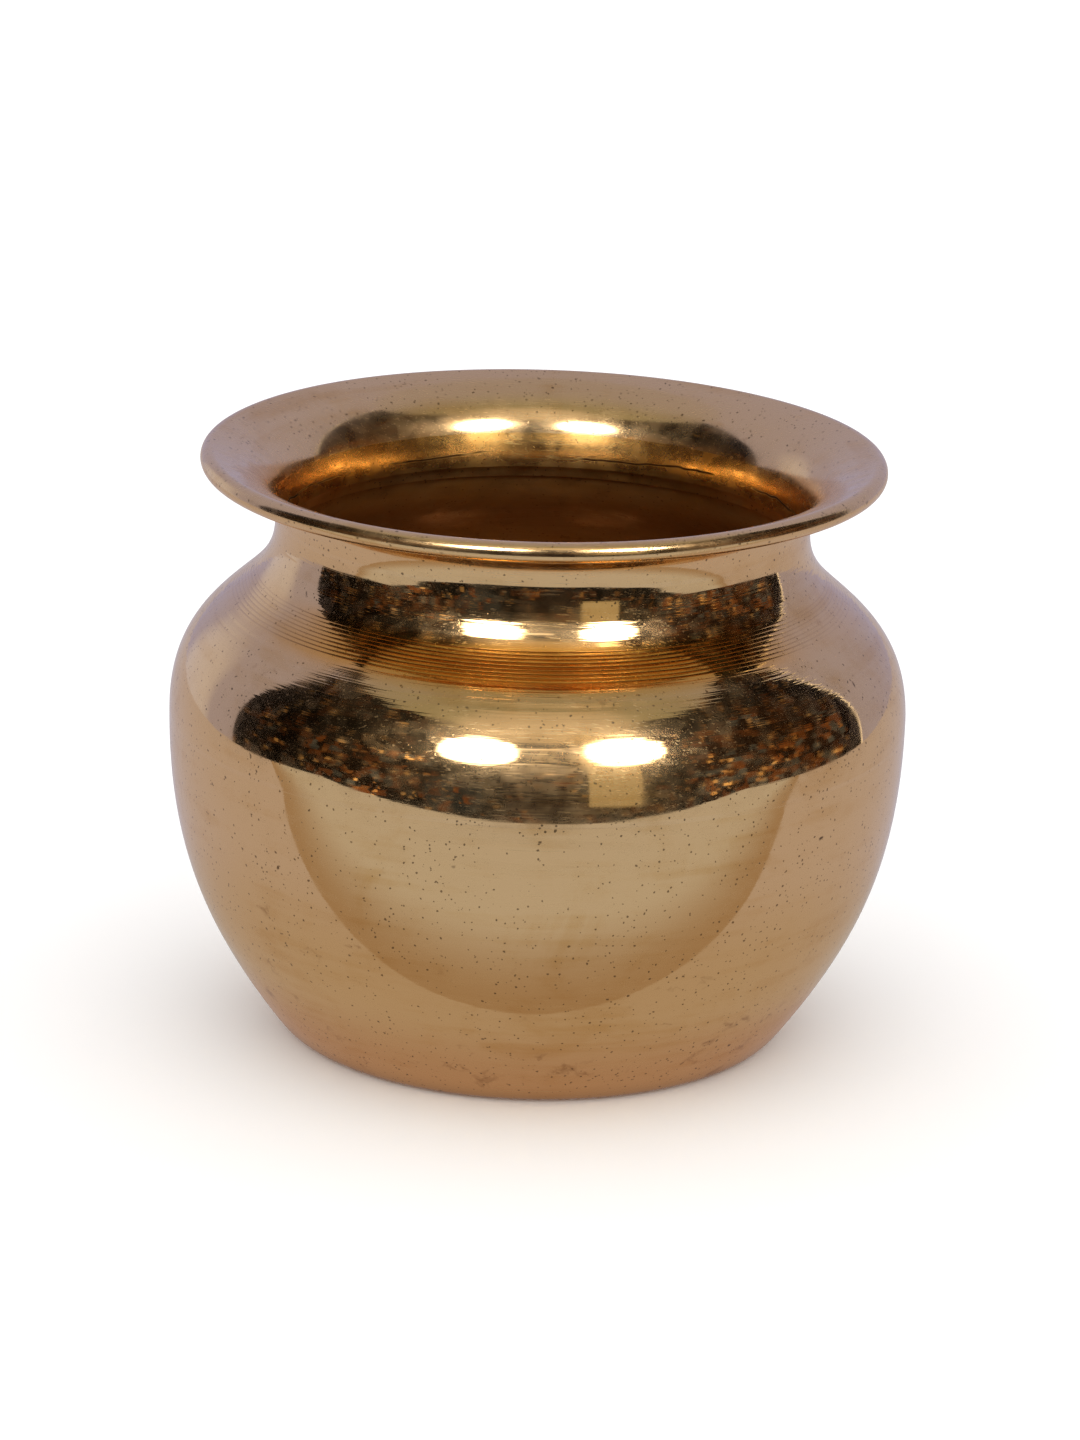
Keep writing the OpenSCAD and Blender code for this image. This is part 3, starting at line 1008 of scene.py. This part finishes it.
@dataclass
class Body:
    """The two spun halves of the body and the spelter that joins them at the belly."""

    shape: PotShape
    groove_count: int = 9
    groove_pitch: float = 0.49
    groove_depth: float = 0.016
    groove_drop: float = 9.0
    groove_narrowing: int = 4
    smooth_steps: int = 64
    lap_steps: int = 6
    groove_steps: int = 12
    foot_steps: int = 12
    corner_steps: int = 20
    joggle_steps: int = 6

    def lower_bowl(self) -> Section:
        """Draws the bowl's section: foot, corner, wall and the stepped-in edge.

        Returns:
            The closed section.
        """
        shape = self.shape
        flat = [Vector((shape.foot_r * i / self.foot_steps, 0))
                for i in range(self.foot_steps + 1)]
        lap = shape.shoulder.path(0, shape.belly_lap_end, self.lap_steps, shape.step_in)
        depth = shape.step_in + shape.sheet
        joggle_low = shape.wall.share_at(shape.belly_h - shape.joggle_h - shape.joggle_shift)
        lap_inside = shape.shoulder.path(shape.belly_lap_end, 0, self.lap_steps, depth)[:-1]
        step = shape.belly_point - Vector((depth, shape.joggle_shift))
        wall_inside = shape.wall.path(joggle_low, 0, self.smooth_steps, shape.sheet)
        corner_inside = shape.corner.path(1, 0, self.corner_steps, shape.sheet)
        floor_inside = [Vector((p.x, shape.sheet)) for p in reversed(flat)]
        section = Section()
        section.run(flat, Face.EDGE)
        section.run(shape.corner.path(0, 1, self.corner_steps), Face.OUTSIDE)
        section.run(shape.wall.path(0, shape.belly_joggle, self.smooth_steps), Face.OUTSIDE)
        section.run(lap, Face.OUTSIDE)
        section.run(lap_inside + [step], Face.INSIDE)
        return section.run(wall_inside + corner_inside + floor_inside, Face.INSIDE)

    def groove_band(self) -> tuple[float, float, float]:
        """Returns the lowest and highest height of the band of grooves, and their pitch."""
        top = self.shape.neck_seam_h - self.groove_drop
        return top - self.groove_count * self.groove_pitch, top, self.groove_pitch

    def groove_depth_at(self, height: float) -> float:
        """Finds how deep the turned grooves are.

        Args:
            height: A height on the shoulder, in millimetres.

        Returns:
            The depth there, in millimetres; none on the lands and off the band.
        """
        top = self.groove_band()[1]
        turns = (top - height) / self.groove_pitch
        if not 0 < turns < self.groove_count:
            return 0.0
        wave = 0.5 - 0.5 * math.cos(math.tau * turns)
        return self.groove_depth * wave ** self.groove_narrowing

    def shoulder_shell(self) -> Section:
        """Draws the shoulder's section, with its band of turned grooves.

        Returns:
            The closed section.
        """
        shape = self.shape
        curve = shape.shoulder
        low, top, _ = self.groove_band()
        band = self.groove_count * self.groove_steps
        heights = [low + (top - low) * i / band for i in range(band + 1)]
        grooved = []
        for height in heights:
            share = curve.share_at(height)
            grooved.append(curve.inset(share, self.groove_depth_at(height)))
        outside = curve.path(0, curve.share_at(low), self.smooth_steps) + grooved
        outside += curve.path(curve.share_at(top), 1, self.smooth_steps // 2)
        inside = curve.path(1, 0, self.smooth_steps, shape.sheet)
        section = Section()
        section.run(outside + [shape.seam_point], Face.OUTSIDE)
        return section.run([shape.seam_point - Vector((shape.sheet, 0))] + inside, Face.INSIDE)

    def belly_braze(self) -> Section:
        """Draws the belly seam's section: outer groove, film and inner fillet.

        Returns:
            The closed section.
        """
        shape = self.shape
        end = shape.belly_lap_end
        fillet_top = shape.shoulder.share_at(shape.belly_h + shape.belly_lap + shape.fillet)
        section = Section()
        section.run([shape.wall.at(shape.belly_joggle)], Face.OUTSIDE)
        section.run(shape.shoulder.path(0, end, self.lap_steps, shape.step_in), Face.OUTSIDE)
        section.run([shape.shoulder.inset(end, shape.step_in + shape.fillet),
                     shape.shoulder.inset(fillet_top, shape.sheet)], Face.OUTSIDE)
        section.run(shape.shoulder.path(end, 0, self.lap_steps, shape.sheet), Face.OUTSIDE)
        outer = shape.wall.path(1, shape.belly_joggle, self.joggle_steps)[:-1]
        return section.run(outer, Face.OUTSIDE)

    def build(self, made: dict[Finish, bpy.types.Material]) -> list[bpy.types.Object]:
        """Spins and dresses the body's pieces.

        Args:
            made: The materials by finish.

        Returns:
            The new pieces.
        """
        bowl = spun_piece("lower_bowl_skin", self.lower_bowl())
        shoulder = spun_piece("shoulder_shell_skin", self.shoulder_shell(), edge_round=0)
        braze = spun_piece("belly_braze_line", self.belly_braze(), edge_round=0)
        dress(bowl, "lower_bowl",
              [made[Finish.OUTSIDE], made[Finish.INSIDE], made[Finish.FOOT]])
        dress(shoulder, "shoulder_shell",
              [made[Finish.SHOULDER], made[Finish.INSIDE], made[Finish.SHOULDER]])
        dress(braze, "belly_braze", [made[Finish.SPELTER]] * len(Face))
        return [bowl, shoulder, braze]


@dataclass
class Collar:
    """The flared collar, the roll round its wire, and the spelter that holds it in the neck."""

    shape: PotShape
    smooth_steps: int = 56
    roll_steps: int = 48
    lap_steps: int = 8
    joggle_steps: int = 6
    ease_steps: int = 24
    roll_gap: float = 0.15
    ease_above: float = 2.6
    ease_below: float = 3.0
    ease_pull: tuple[float, float] = (2.0, 2.2)
    overlap_guard: float = 0.1

    def rolled_edge(self, radius: float, first: float, last: float) -> list[Vector]:
        """Draws an arc round the wire's centre.

        Args:
            radius: Its radius, in millimetres.
            first: The angle above the lip's slope where it starts, in degrees.
            last: The angle where it ends.

        Returns:
            Its points.
        """
        shape = self.shape
        points = []
        for i in range(self.roll_steps + 1):
            angle = math.radians(first + (last - first) * i / self.roll_steps)
            points.append(shape.roll_centre + shape.lip_way * radius * math.cos(angle)
                          + shape.lip_up * radius * math.sin(angle))
        return points

    def collar(self) -> Section:
        """Draws the collar's section: skirt, joggle, flare and the roll round the wire.

        The throat is eased from the flare down to the skirt, in place of the step in the sheet.

        Returns:
            The closed section.
        """
        shape = self.shape
        wire_r = shape.wire_d / 2
        skirt = shape.shoulder.path(shape.neck_lap_end, 1, self.lap_steps, shape.step_in)
        skirt.append(shape.seam_point - Vector((shape.step_in, 0)))
        under = shape.mouth.path(shape.neck_joggle, 1, self.smooth_steps)
        closed = math.degrees(math.asin((wire_r - self.roll_gap) / shape.roll_r))
        opened = math.degrees(math.asin((wire_r - self.roll_gap) / wire_r))
        bore = self.rolled_edge(wire_r, 90, -180 - opened)
        outer = self.rolled_edge(shape.roll_r, -180 - closed, 90)
        top = [point for point in shape.mouth.path(1, shape.neck_joggle, self.smooth_steps,
                                                   shape.sheet)
               if point.y > shape.neck_seam_h + self.ease_above]
        depth = shape.step_in + shape.sheet
        throat = Vector((shape.neck_r - depth, shape.neck_seam_h - self.ease_below))
        way = (top[-1] - top[-2]).normalized()
        leave, arrive = self.ease_pull
        eased = Stretch(top[-1], top[-1] + way * leave, throat + Vector((0, arrive)), throat)
        inside = eased.path(0, 1, self.ease_steps)
        inside += [point for point in shape.shoulder.path(1, shape.neck_lap_end, self.lap_steps,
                                                          depth)
                   if point.y < throat.y - self.overlap_guard]
        section = Section()
        section.run(skirt, Face.OUTSIDE)
        section.run(under, Face.OUTSIDE)
        section.run(bore, Face.OUTSIDE)
        section.run(outer, Face.EDGE)
        section.run(top, Face.EDGE)
        return section.run(inside, Face.INSIDE)

    def neck_braze(self) -> Section:
        """Draws the neck seam's section: outer groove, film and lower fillet.

        Returns:
            The closed section.
        """
        shape = self.shape
        end = shape.neck_lap_end
        fillet_low = shape.shoulder.share_at(shape.neck_seam_h - shape.neck_lap - shape.fillet)
        section = Section()
        section.run(shape.mouth.path(0, shape.neck_joggle, self.joggle_steps)
                    + [shape.seam_point - Vector((shape.step_in, 0))], Face.OUTSIDE)
        section.run(shape.shoulder.path(1, end, self.lap_steps, shape.step_in), Face.OUTSIDE)
        section.run([shape.shoulder.inset(end, shape.step_in + shape.fillet),
                     shape.shoulder.inset(fillet_low, shape.sheet)], Face.OUTSIDE)
        return section.run(shape.shoulder.path(end, 1, self.lap_steps, shape.sheet)
                           + [shape.seam_point - Vector((shape.sheet, 0))], Face.OUTSIDE)

    def build(self, made: dict[Finish, bpy.types.Material]) -> list[bpy.types.Object]:
        """Spins and dresses the collar's pieces.

        Args:
            made: The materials by finish.

        Returns:
            The new pieces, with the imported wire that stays.
        """
        collar = spun_piece("neck_collar_skin", self.collar())
        braze = spun_piece("neck_braze_line", self.neck_braze(), edge_round=0)
        dress(collar, "neck_collar",
              [made[Finish.OUTSIDE], made[Finish.INSIDE], made[Finish.MOUTH]])
        dress(braze, "neck_braze", [made[Finish.SPELTER]] * len(Face))
        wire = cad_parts["rim_wire"]
        for slot in wire.material_slots:
            slot.material = made[Finish.WIRE]
        return [collar, braze, wire]


# ---------------------------------------------------------------------------------------------
# Studio
# ---------------------------------------------------------------------------------------------


CROWD_PATCHES = 7.0
CROWD_LIGHTS = 13.0
RARE_LIGHTS = 20.0  # power that leaves only a few of the small patches bright
CROWD_WARM = "#B0703E"
CROWD_COOL = "#7F8A96"
CROWD_SPARK = "#F0C88A"
PANEL_STEP = 3.0  # degrees between a panel's corners
POT_MIDDLE = 60.0


def glossy_only(piece: bpy.types.Object) -> None:
    """Leaves a studio piece for the metal to reflect and hides it from everything else.

    Args:
        piece: The studio piece.
    """
    piece.visible_camera = False
    piece.visible_diffuse = False
    piece.visible_shadow = False
    piece.visible_transmission = False


def stage_piece(name: str, rows: Sequence[Sequence[Vector]],
                material: bpy.types.Material) -> bpy.types.Object:
    """Makes one studio piece from rows of corners, in millimetres.

    Args:
        name: The piece's name.
        rows: Corners, row by row.
        material: Its material.

    Returns:
        The new object.
    """
    bm = bmesh.new()
    made = [[bm.verts.new(point * MM) for point in row] for row in rows]
    for low, high in zip(made, made[1:]):
        for i in range(len(low) - 1):
            bm.faces.new((low[i], low[i + 1], high[i + 1], high[i]))
    layer = bm.loops.layers.uv.new("UVMap")
    spots = {vert: (i / (len(row) - 1), j / (len(made) - 1))
             for j, row in enumerate(made) for i, vert in enumerate(row)}
    for face in bm.faces:
        for loop in face.loops:
            loop[layer].uv = spots[loop.vert]
    mesh = bpy.data.meshes.new(name)
    bm.to_mesh(mesh)
    bm.free()
    mesh.materials.append(material)
    piece = bpy.data.objects.new(name, mesh)
    bpy.context.scene.collection.objects.link(piece)
    glossy_only(piece)
    return piece


@dataclass(frozen=True)
class Panel:
    """A curved panel round the pot, placed by direction: a wall, a ceiling or a softbox.

    Turn and rise are degrees, away is millimetres. Busy panels hold dim coloured patches like a
    crowded room. An edge above zero lets the panel fade, and corner is how square its outline
    stays then. Behind is the colour that it turns to beyond the pot. Its material is plain
    glowing cloth or card, with no surface of its own: the eye sees it only in the brass.
    """

    name: str
    turn: tuple[float, float]
    rise: tuple[float, float]
    colour: str
    glow: float
    away: float = 2600.0
    busy: float = 0.0
    edge: float = 0.0
    corner: float = 3.0
    behind: str = ""

    def cells(self, weave: Weave, scale: float,
              randomness: float) -> Sequence[bpy.types.NodeSocket]:
        """Cuts the panel into square-cornered patches.

        Args:
            weave: The material's nodes.
            scale: Patches in a metre.
            randomness: How far they leave an even grid.

        Returns:
            Three random numbers for each patch.
        """
        cells = add_node(weave.tree, "ShaderNodeTexVoronoi", {"distance": "CHEBYCHEV"}, {
            "Vector": weave.place, "Scale": scale, "Randomness": randomness})
        return add_node(weave.tree, "ShaderNodeSeparateColor",
                        inputs={0: cells.outputs["Color"]}).outputs

    def crowd(self, weave: Weave) -> tuple[bpy.types.NodeSocket, bpy.types.NodeSocket]:
        """Draws the dim things and small lights of a crowded room.

        Args:
            weave: The material's nodes.

        Returns:
            How bright they are, and their colour.
        """
        large = self.cells(weave, CROWD_PATCHES, 0.7)
        small = self.cells(weave, CROWD_LIGHTS, 0.8)
        gathered = weave.ramp(weave.noise(weave.place, (1.2, 1.2, 1.2)), 0.38, 0.62, 0.15, 1)
        dim = weave.number("MULTIPLY", weave.ramp(large[0], 0.5, 0.56, 0.02, 0.24), large[1])
        spark = weave.number("POWER", small[0], RARE_LIGHTS)
        hue = weave.mix(weave.ramp(large[2], 0.64, 0.7), rgb(CROWD_WARM), rgb(CROWD_COOL))
        hue = weave.mix(weave.number("MINIMUM", spark, 1.0), hue, rgb(CROWD_SPARK))
        return weave.number("MULTIPLY", weave.number("ADD", dim, spark),
                            weave.number("MULTIPLY", gathered, self.busy)), hue

    def light(self, weave: Weave) -> bpy.types.NodeSocket:
        """Makes the panel glow.

        Args:
            weave: The material's nodes.

        Returns:
            The glow as a shader.
        """
        colour, glow = rgb(self.colour), self.glow
        if self.behind:
            depth = add_node(weave.tree, "ShaderNodeSeparateXYZ", inputs={0: weave.place})
            share = weave.ramp(depth.outputs[1], -0.9, 0.9)
            colour = weave.mix(share, rgb(self.colour), rgb(self.behind))
        if self.busy:
            busy, hue = self.crowd(weave)
            colour = weave.mix(weave.ramp(busy, 0.0, 0.08), colour, hue)
            glow = weave.number("ADD", busy, self.glow)
        shader = add_node(weave.tree, "ShaderNodeEmission", inputs={
            "Color": colour, "Strength": glow})
        return shader.outputs[0]

    def faded(self, weave: Weave, light: bpy.types.NodeSocket) -> bpy.types.NodeSocket:
        """Rounds the panel off and lets it fade towards its edge.

        Args:
            weave: The material's nodes.
            light: The glow.

        Returns:
            The glow, clear outside the rounded edge.
        """
        spot = add_node(weave.tree, "ShaderNodeUVMap").outputs[0]
        middle = add_node(weave.tree, "ShaderNodeVectorMath", {"operation": "MULTIPLY_ADD"},
                          {0: spot, 1: (2, 2, 0), 2: (-1, -1, 0)}).outputs[0]
        raised = weave.vector("POWER", weave.vector("ABSOLUTE", middle),
                              (self.corner, self.corner, 1))
        sides = add_node(weave.tree, "ShaderNodeSeparateXYZ", inputs={0: raised})
        away = weave.number("ADD", sides.outputs[0], sides.outputs[1])
        clear = add_node(weave.tree, "ShaderNodeBsdfTransparent").outputs[0]
        return add_node(weave.tree, "ShaderNodeMixShader", inputs={
            0: weave.ramp(away, 1 - self.edge, 1.0, 1, 0), 1: clear, 2: light}).outputs[0]

    def material(self) -> bpy.types.Material:
        """Builds the panel's nodes.

        Returns:
            The new material.
        """
        material = bpy.data.materials.new(self.name)
        material.use_nodes = True
        weave = Weave.on(material)
        light = self.light(weave)
        if self.edge:
            light = self.faded(weave, light)
        add_node(weave.tree, "ShaderNodeOutputMaterial", inputs={0: light})
        return material

    def corner_at(self, across: float, upward: float) -> Vector:
        """Finds a point of the panel.

        Args:
            across: How far across it, from zero to one.
            upward: How far up it, from zero to one.

        Returns:
            The point, in millimetres.
        """
        rise = math.radians(self.rise[0] + (self.rise[1] - self.rise[0]) * upward)
        turn = math.radians(self.turn[0] + (self.turn[1] - self.turn[0]) * across)
        way = Vector((math.sin(turn) * math.cos(rise), -math.cos(turn) * math.cos(rise),
                      math.sin(rise)))
        return way * self.away + Vector((0, 0, POT_MIDDLE))

    def build(self) -> None:
        """Makes the panel on a ball round the pot's middle."""
        across = max(1, round((self.turn[1] - self.turn[0]) / PANEL_STEP))
        upward = max(1, round((self.rise[1] - self.rise[0]) / PANEL_STEP))
        rows = [[self.corner_at(i / across, j / upward) for i in range(across + 1)]
                for j in range(upward + 1)]
        stage_piece(self.name, rows, self.material())


@dataclass(frozen=True)
class TableTop:
    """The table that the metal sees: browner close to the pot, and paler beyond a fold.

    Its material is card that glows, lit by nothing: the pot's shadow and the warm light that its
    brass throws down are painted on it, browner and darker towards the foot. The eye sees it only
    in the brass, as the warm lower half of the pot and the paler field in it. Sizes are
    millimetres.
    """

    front: float = -231.0
    half: float = 450.0
    fold: float = -63.0
    pale_from: float = -112.0
    pale: str = "#C6CAD4"
    shade: str = "#A99887"
    wide: str = "#C1BDC9"
    # near, foot and under are painted shadow: the pot's shade on the table, browner towards the
    # foot.
    near: str = "#BAB1AB"
    foot: str = "#B0998E"
    under: str = "#6E5A52"
    contact_shadow_reach: tuple[float, float] = (39, 46)
    foot_shadow_reach: tuple[float, float] = (44, 60)
    near_shadow_reach: tuple[float, float] = (65, 130)
    lift: float = 0.02

    def ring(self, weave: Weave, away: bpy.types.NodeSocket,
             reach: tuple[float, float]) -> bpy.types.NodeSocket:
        """Returns zero inside a ring round the pot and one outside it; reach is its edge."""
        return weave.ramp(away, reach[0] * MM, reach[1] * MM)

    def build(self) -> None:
        """Makes the table card and its colours, which follow the distance from the pot."""
        material = bpy.data.materials.new("table_card")
        material.use_nodes = True
        weave = Weave.on(material)
        placed = add_node(weave.tree, "ShaderNodeSeparateXYZ", inputs={0: weave.place})
        far = weave.ramp(placed.outputs[1], self.pale_from * MM, self.fold * MM)
        beyond = weave.mix(far, rgb(self.pale), rgb(self.shade))
        away = add_node(weave.tree, "ShaderNodeVectorMath", {"operation": "LENGTH"},
                        {0: weave.place}).outputs["Value"]
        # Painted shadow: rings round the pot turn the card browner and darker towards the foot.
        close = weave.mix(self.ring(weave, away, self.near_shadow_reach), rgb(self.near),
                          rgb(self.wide))
        close = weave.mix(self.ring(weave, away, self.foot_shadow_reach), rgb(self.foot), close)
        close = weave.mix(self.ring(weave, away, self.contact_shadow_reach), rgb(self.under), close)
        within = weave.number("GREATER_THAN", placed.outputs[1], self.fold * MM)
        colour = weave.mix(within, beyond, close)
        # The card glows at an even strength; no lamp lights it, so its shading is all painted.
        light = add_node(weave.tree, "ShaderNodeEmission", inputs={
            "Color": colour, "Strength": 1.0})
        add_node(weave.tree, "ShaderNodeOutputMaterial", inputs={0: light.outputs[0]})
        rows = [[Vector((x, y, self.lift)) for x in (-self.half, self.half)]
                for y in (self.front, 3 * self.half)]
        stage_piece("table_card", rows, material)


@dataclass
class Studio:
    """A pale floor, soft light, and the room that the polished metal reflects.

    The floor is card painted matt white: the eye sees only the pot's soft shadow on it.
    """

    floor_size: float = 9000.0
    floor_colour: str = "#F7F6F5"
    floor_roughness: float = 0.9
    sky: str = "#FFFFFF"
    sky_glow: float = 1.3
    table: TableTop = field(default_factory=TableTop)

    def panels(self) -> list[Panel]:
        """Lists the panels: dark room in front, pale sides and back, warm ceiling, softboxes.

        Returns:
            The panels.
        """
        return [
            Panel("dark_room", (-105, 117.2), (-24, 56), "#2B1D12", 0.05, busy=0.4),
            Panel("shelf_left", (-76, -28), (-14, 24), "#3A2818", 0.12, away=2500, busy=2.2,
                  edge=0.3),
            Panel("blue_cloth", (-34, -14), (-16, 9), "#4A5866", 0.26, away=2450, busy=0.4,
                  edge=0.5),
            Panel("grey_wall", (-10, 18), (-22, 24), "#4A3E3A", 0.25, away=2480, busy=0.3,
                  edge=0.5),
            Panel("shelf_right", (46, 112), (-16, 44), "#4A2E18", 0.16, away=2500, busy=1.3,
                  edge=0.3),
            Panel("dark_floor", (-105, 118), (-50, -15), "#2A1A10", 0.12, away=2700),
            Panel("side_left", (-180, -105), (-50, 56), "#B4B6DC", 0.92),
            Panel("side_right", (118, 180), (-50, 56), "#B4B6DC", 0.92),
            Panel("left_glow", (-152, -118), (-58, 30), "#CFD3EC", 1.0, away=2300, edge=0.9),
            Panel("ceiling", (-180, 180), (55, 89.5), "#A8A894", 0.9, away=2550,
                  behind="#B2B2C8"),
            Panel("lamp_spill", (-42, 54), (42, 74), "#EFE8DA", 0.74, away=2200, edge=0.95),
            Panel("gold_panel", (17, 33), (-8, 24), "#BDB59A", 1.0, away=2300),
            Panel("softbox_left", (-34, -4), (20.5, 47.5), "#FFFFFF", 14.0, away=1800, edge=0.6,
                  corner=2.2),
            Panel("softbox_right", (16, 45), (20.5, 47.5), "#FFFFFF", 14.0, away=1800, edge=0.6,
                  corner=2.2),
        ]

    def floor(self) -> None:
        """Makes the floor, which the metal doesn't reflect: it sees the table in its place."""
        bpy.ops.mesh.primitive_plane_add(size=self.floor_size * MM, location=(0, 0, 0))
        floor = bpy.context.object
        floor.name = "floor"
        material = bpy.data.materials.new("matt_white_floor")
        material.use_nodes = True
        shader = material.node_tree.nodes["Principled BSDF"]
        shader.inputs["Base Color"].default_value = rgb(self.floor_colour)
        shader.inputs["Roughness"].default_value = self.floor_roughness
        floor.data.materials.append(material)
        floor.visible_glossy = False

    def light(self) -> None:
        """Makes the even sky that lights the floor, and leaves the colours as they are."""
        world = bpy.data.worlds.new("soft_sky")
        world.use_nodes = True
        sky = world.node_tree.nodes["Background"]
        sky.inputs["Color"].default_value = rgb(self.sky)
        sky.inputs["Strength"].default_value = self.sky_glow
        bpy.context.scene.world = world
        bpy.context.scene.view_settings.view_transform = "Standard"

    def build(self) -> None:
        """Makes the floor, the table, the panels and the sky."""
        self.floor()
        self.table.build()
        for panel in self.panels():
            panel.build()
        self.light()


@dataclass(frozen=True)
class Viewpoint:
    """The camera: where it stands and looks, in millimetres, and how far it leans, in degrees."""

    place: tuple[float, float, float] = (0.5, -952.7, 355.0)
    aim: tuple[float, float, float] = (0.5, 0.0, 53.1)
    roll: float = 1.61
    lens: float = 146.7
    sensor: float = 36.0
    clip: tuple[float, float] = (10.0, 30000.0)

    def build(self) -> None:
        """Makes the camera and gives it to the scene."""
        data = bpy.data.cameras.new("camera")
        data.lens = self.lens
        data.sensor_width = self.sensor
        data.clip_start = self.clip[0] * MM
        data.clip_end = self.clip[1] * MM
        camera = bpy.data.objects.new("camera", data)
        way = (Vector(self.aim) - Vector(self.place)).normalized()
        turn = way.to_track_quat("-Z", "Y").to_matrix().to_4x4()
        lean = Matrix.Rotation(math.radians(self.roll), 4, "Z")
        camera.matrix_world = Matrix.Translation(Vector(self.place) * MM) @ turn @ lean
        bpy.context.scene.collection.objects.link(camera)
        bpy.context.scene.camera = camera


def main() -> None:
    """Builds the pot's pieces, then the studio and the camera."""
    logging.basicConfig(level=logging.INFO, format="%(name)s %(message)s")
    shape = PotShape.from_frame()
    body = Body(shape)
    made = finishes(body.groove_band())
    for builder in (body, Collar(shape)):
        for piece in builder.build(made):
            log.info("%s: %s, %d faces", type(builder).__name__, piece.name,
                     len(piece.data.polygons))
    Studio().build()
    Viewpoint().build()


if __name__ == "__main__":
    main()
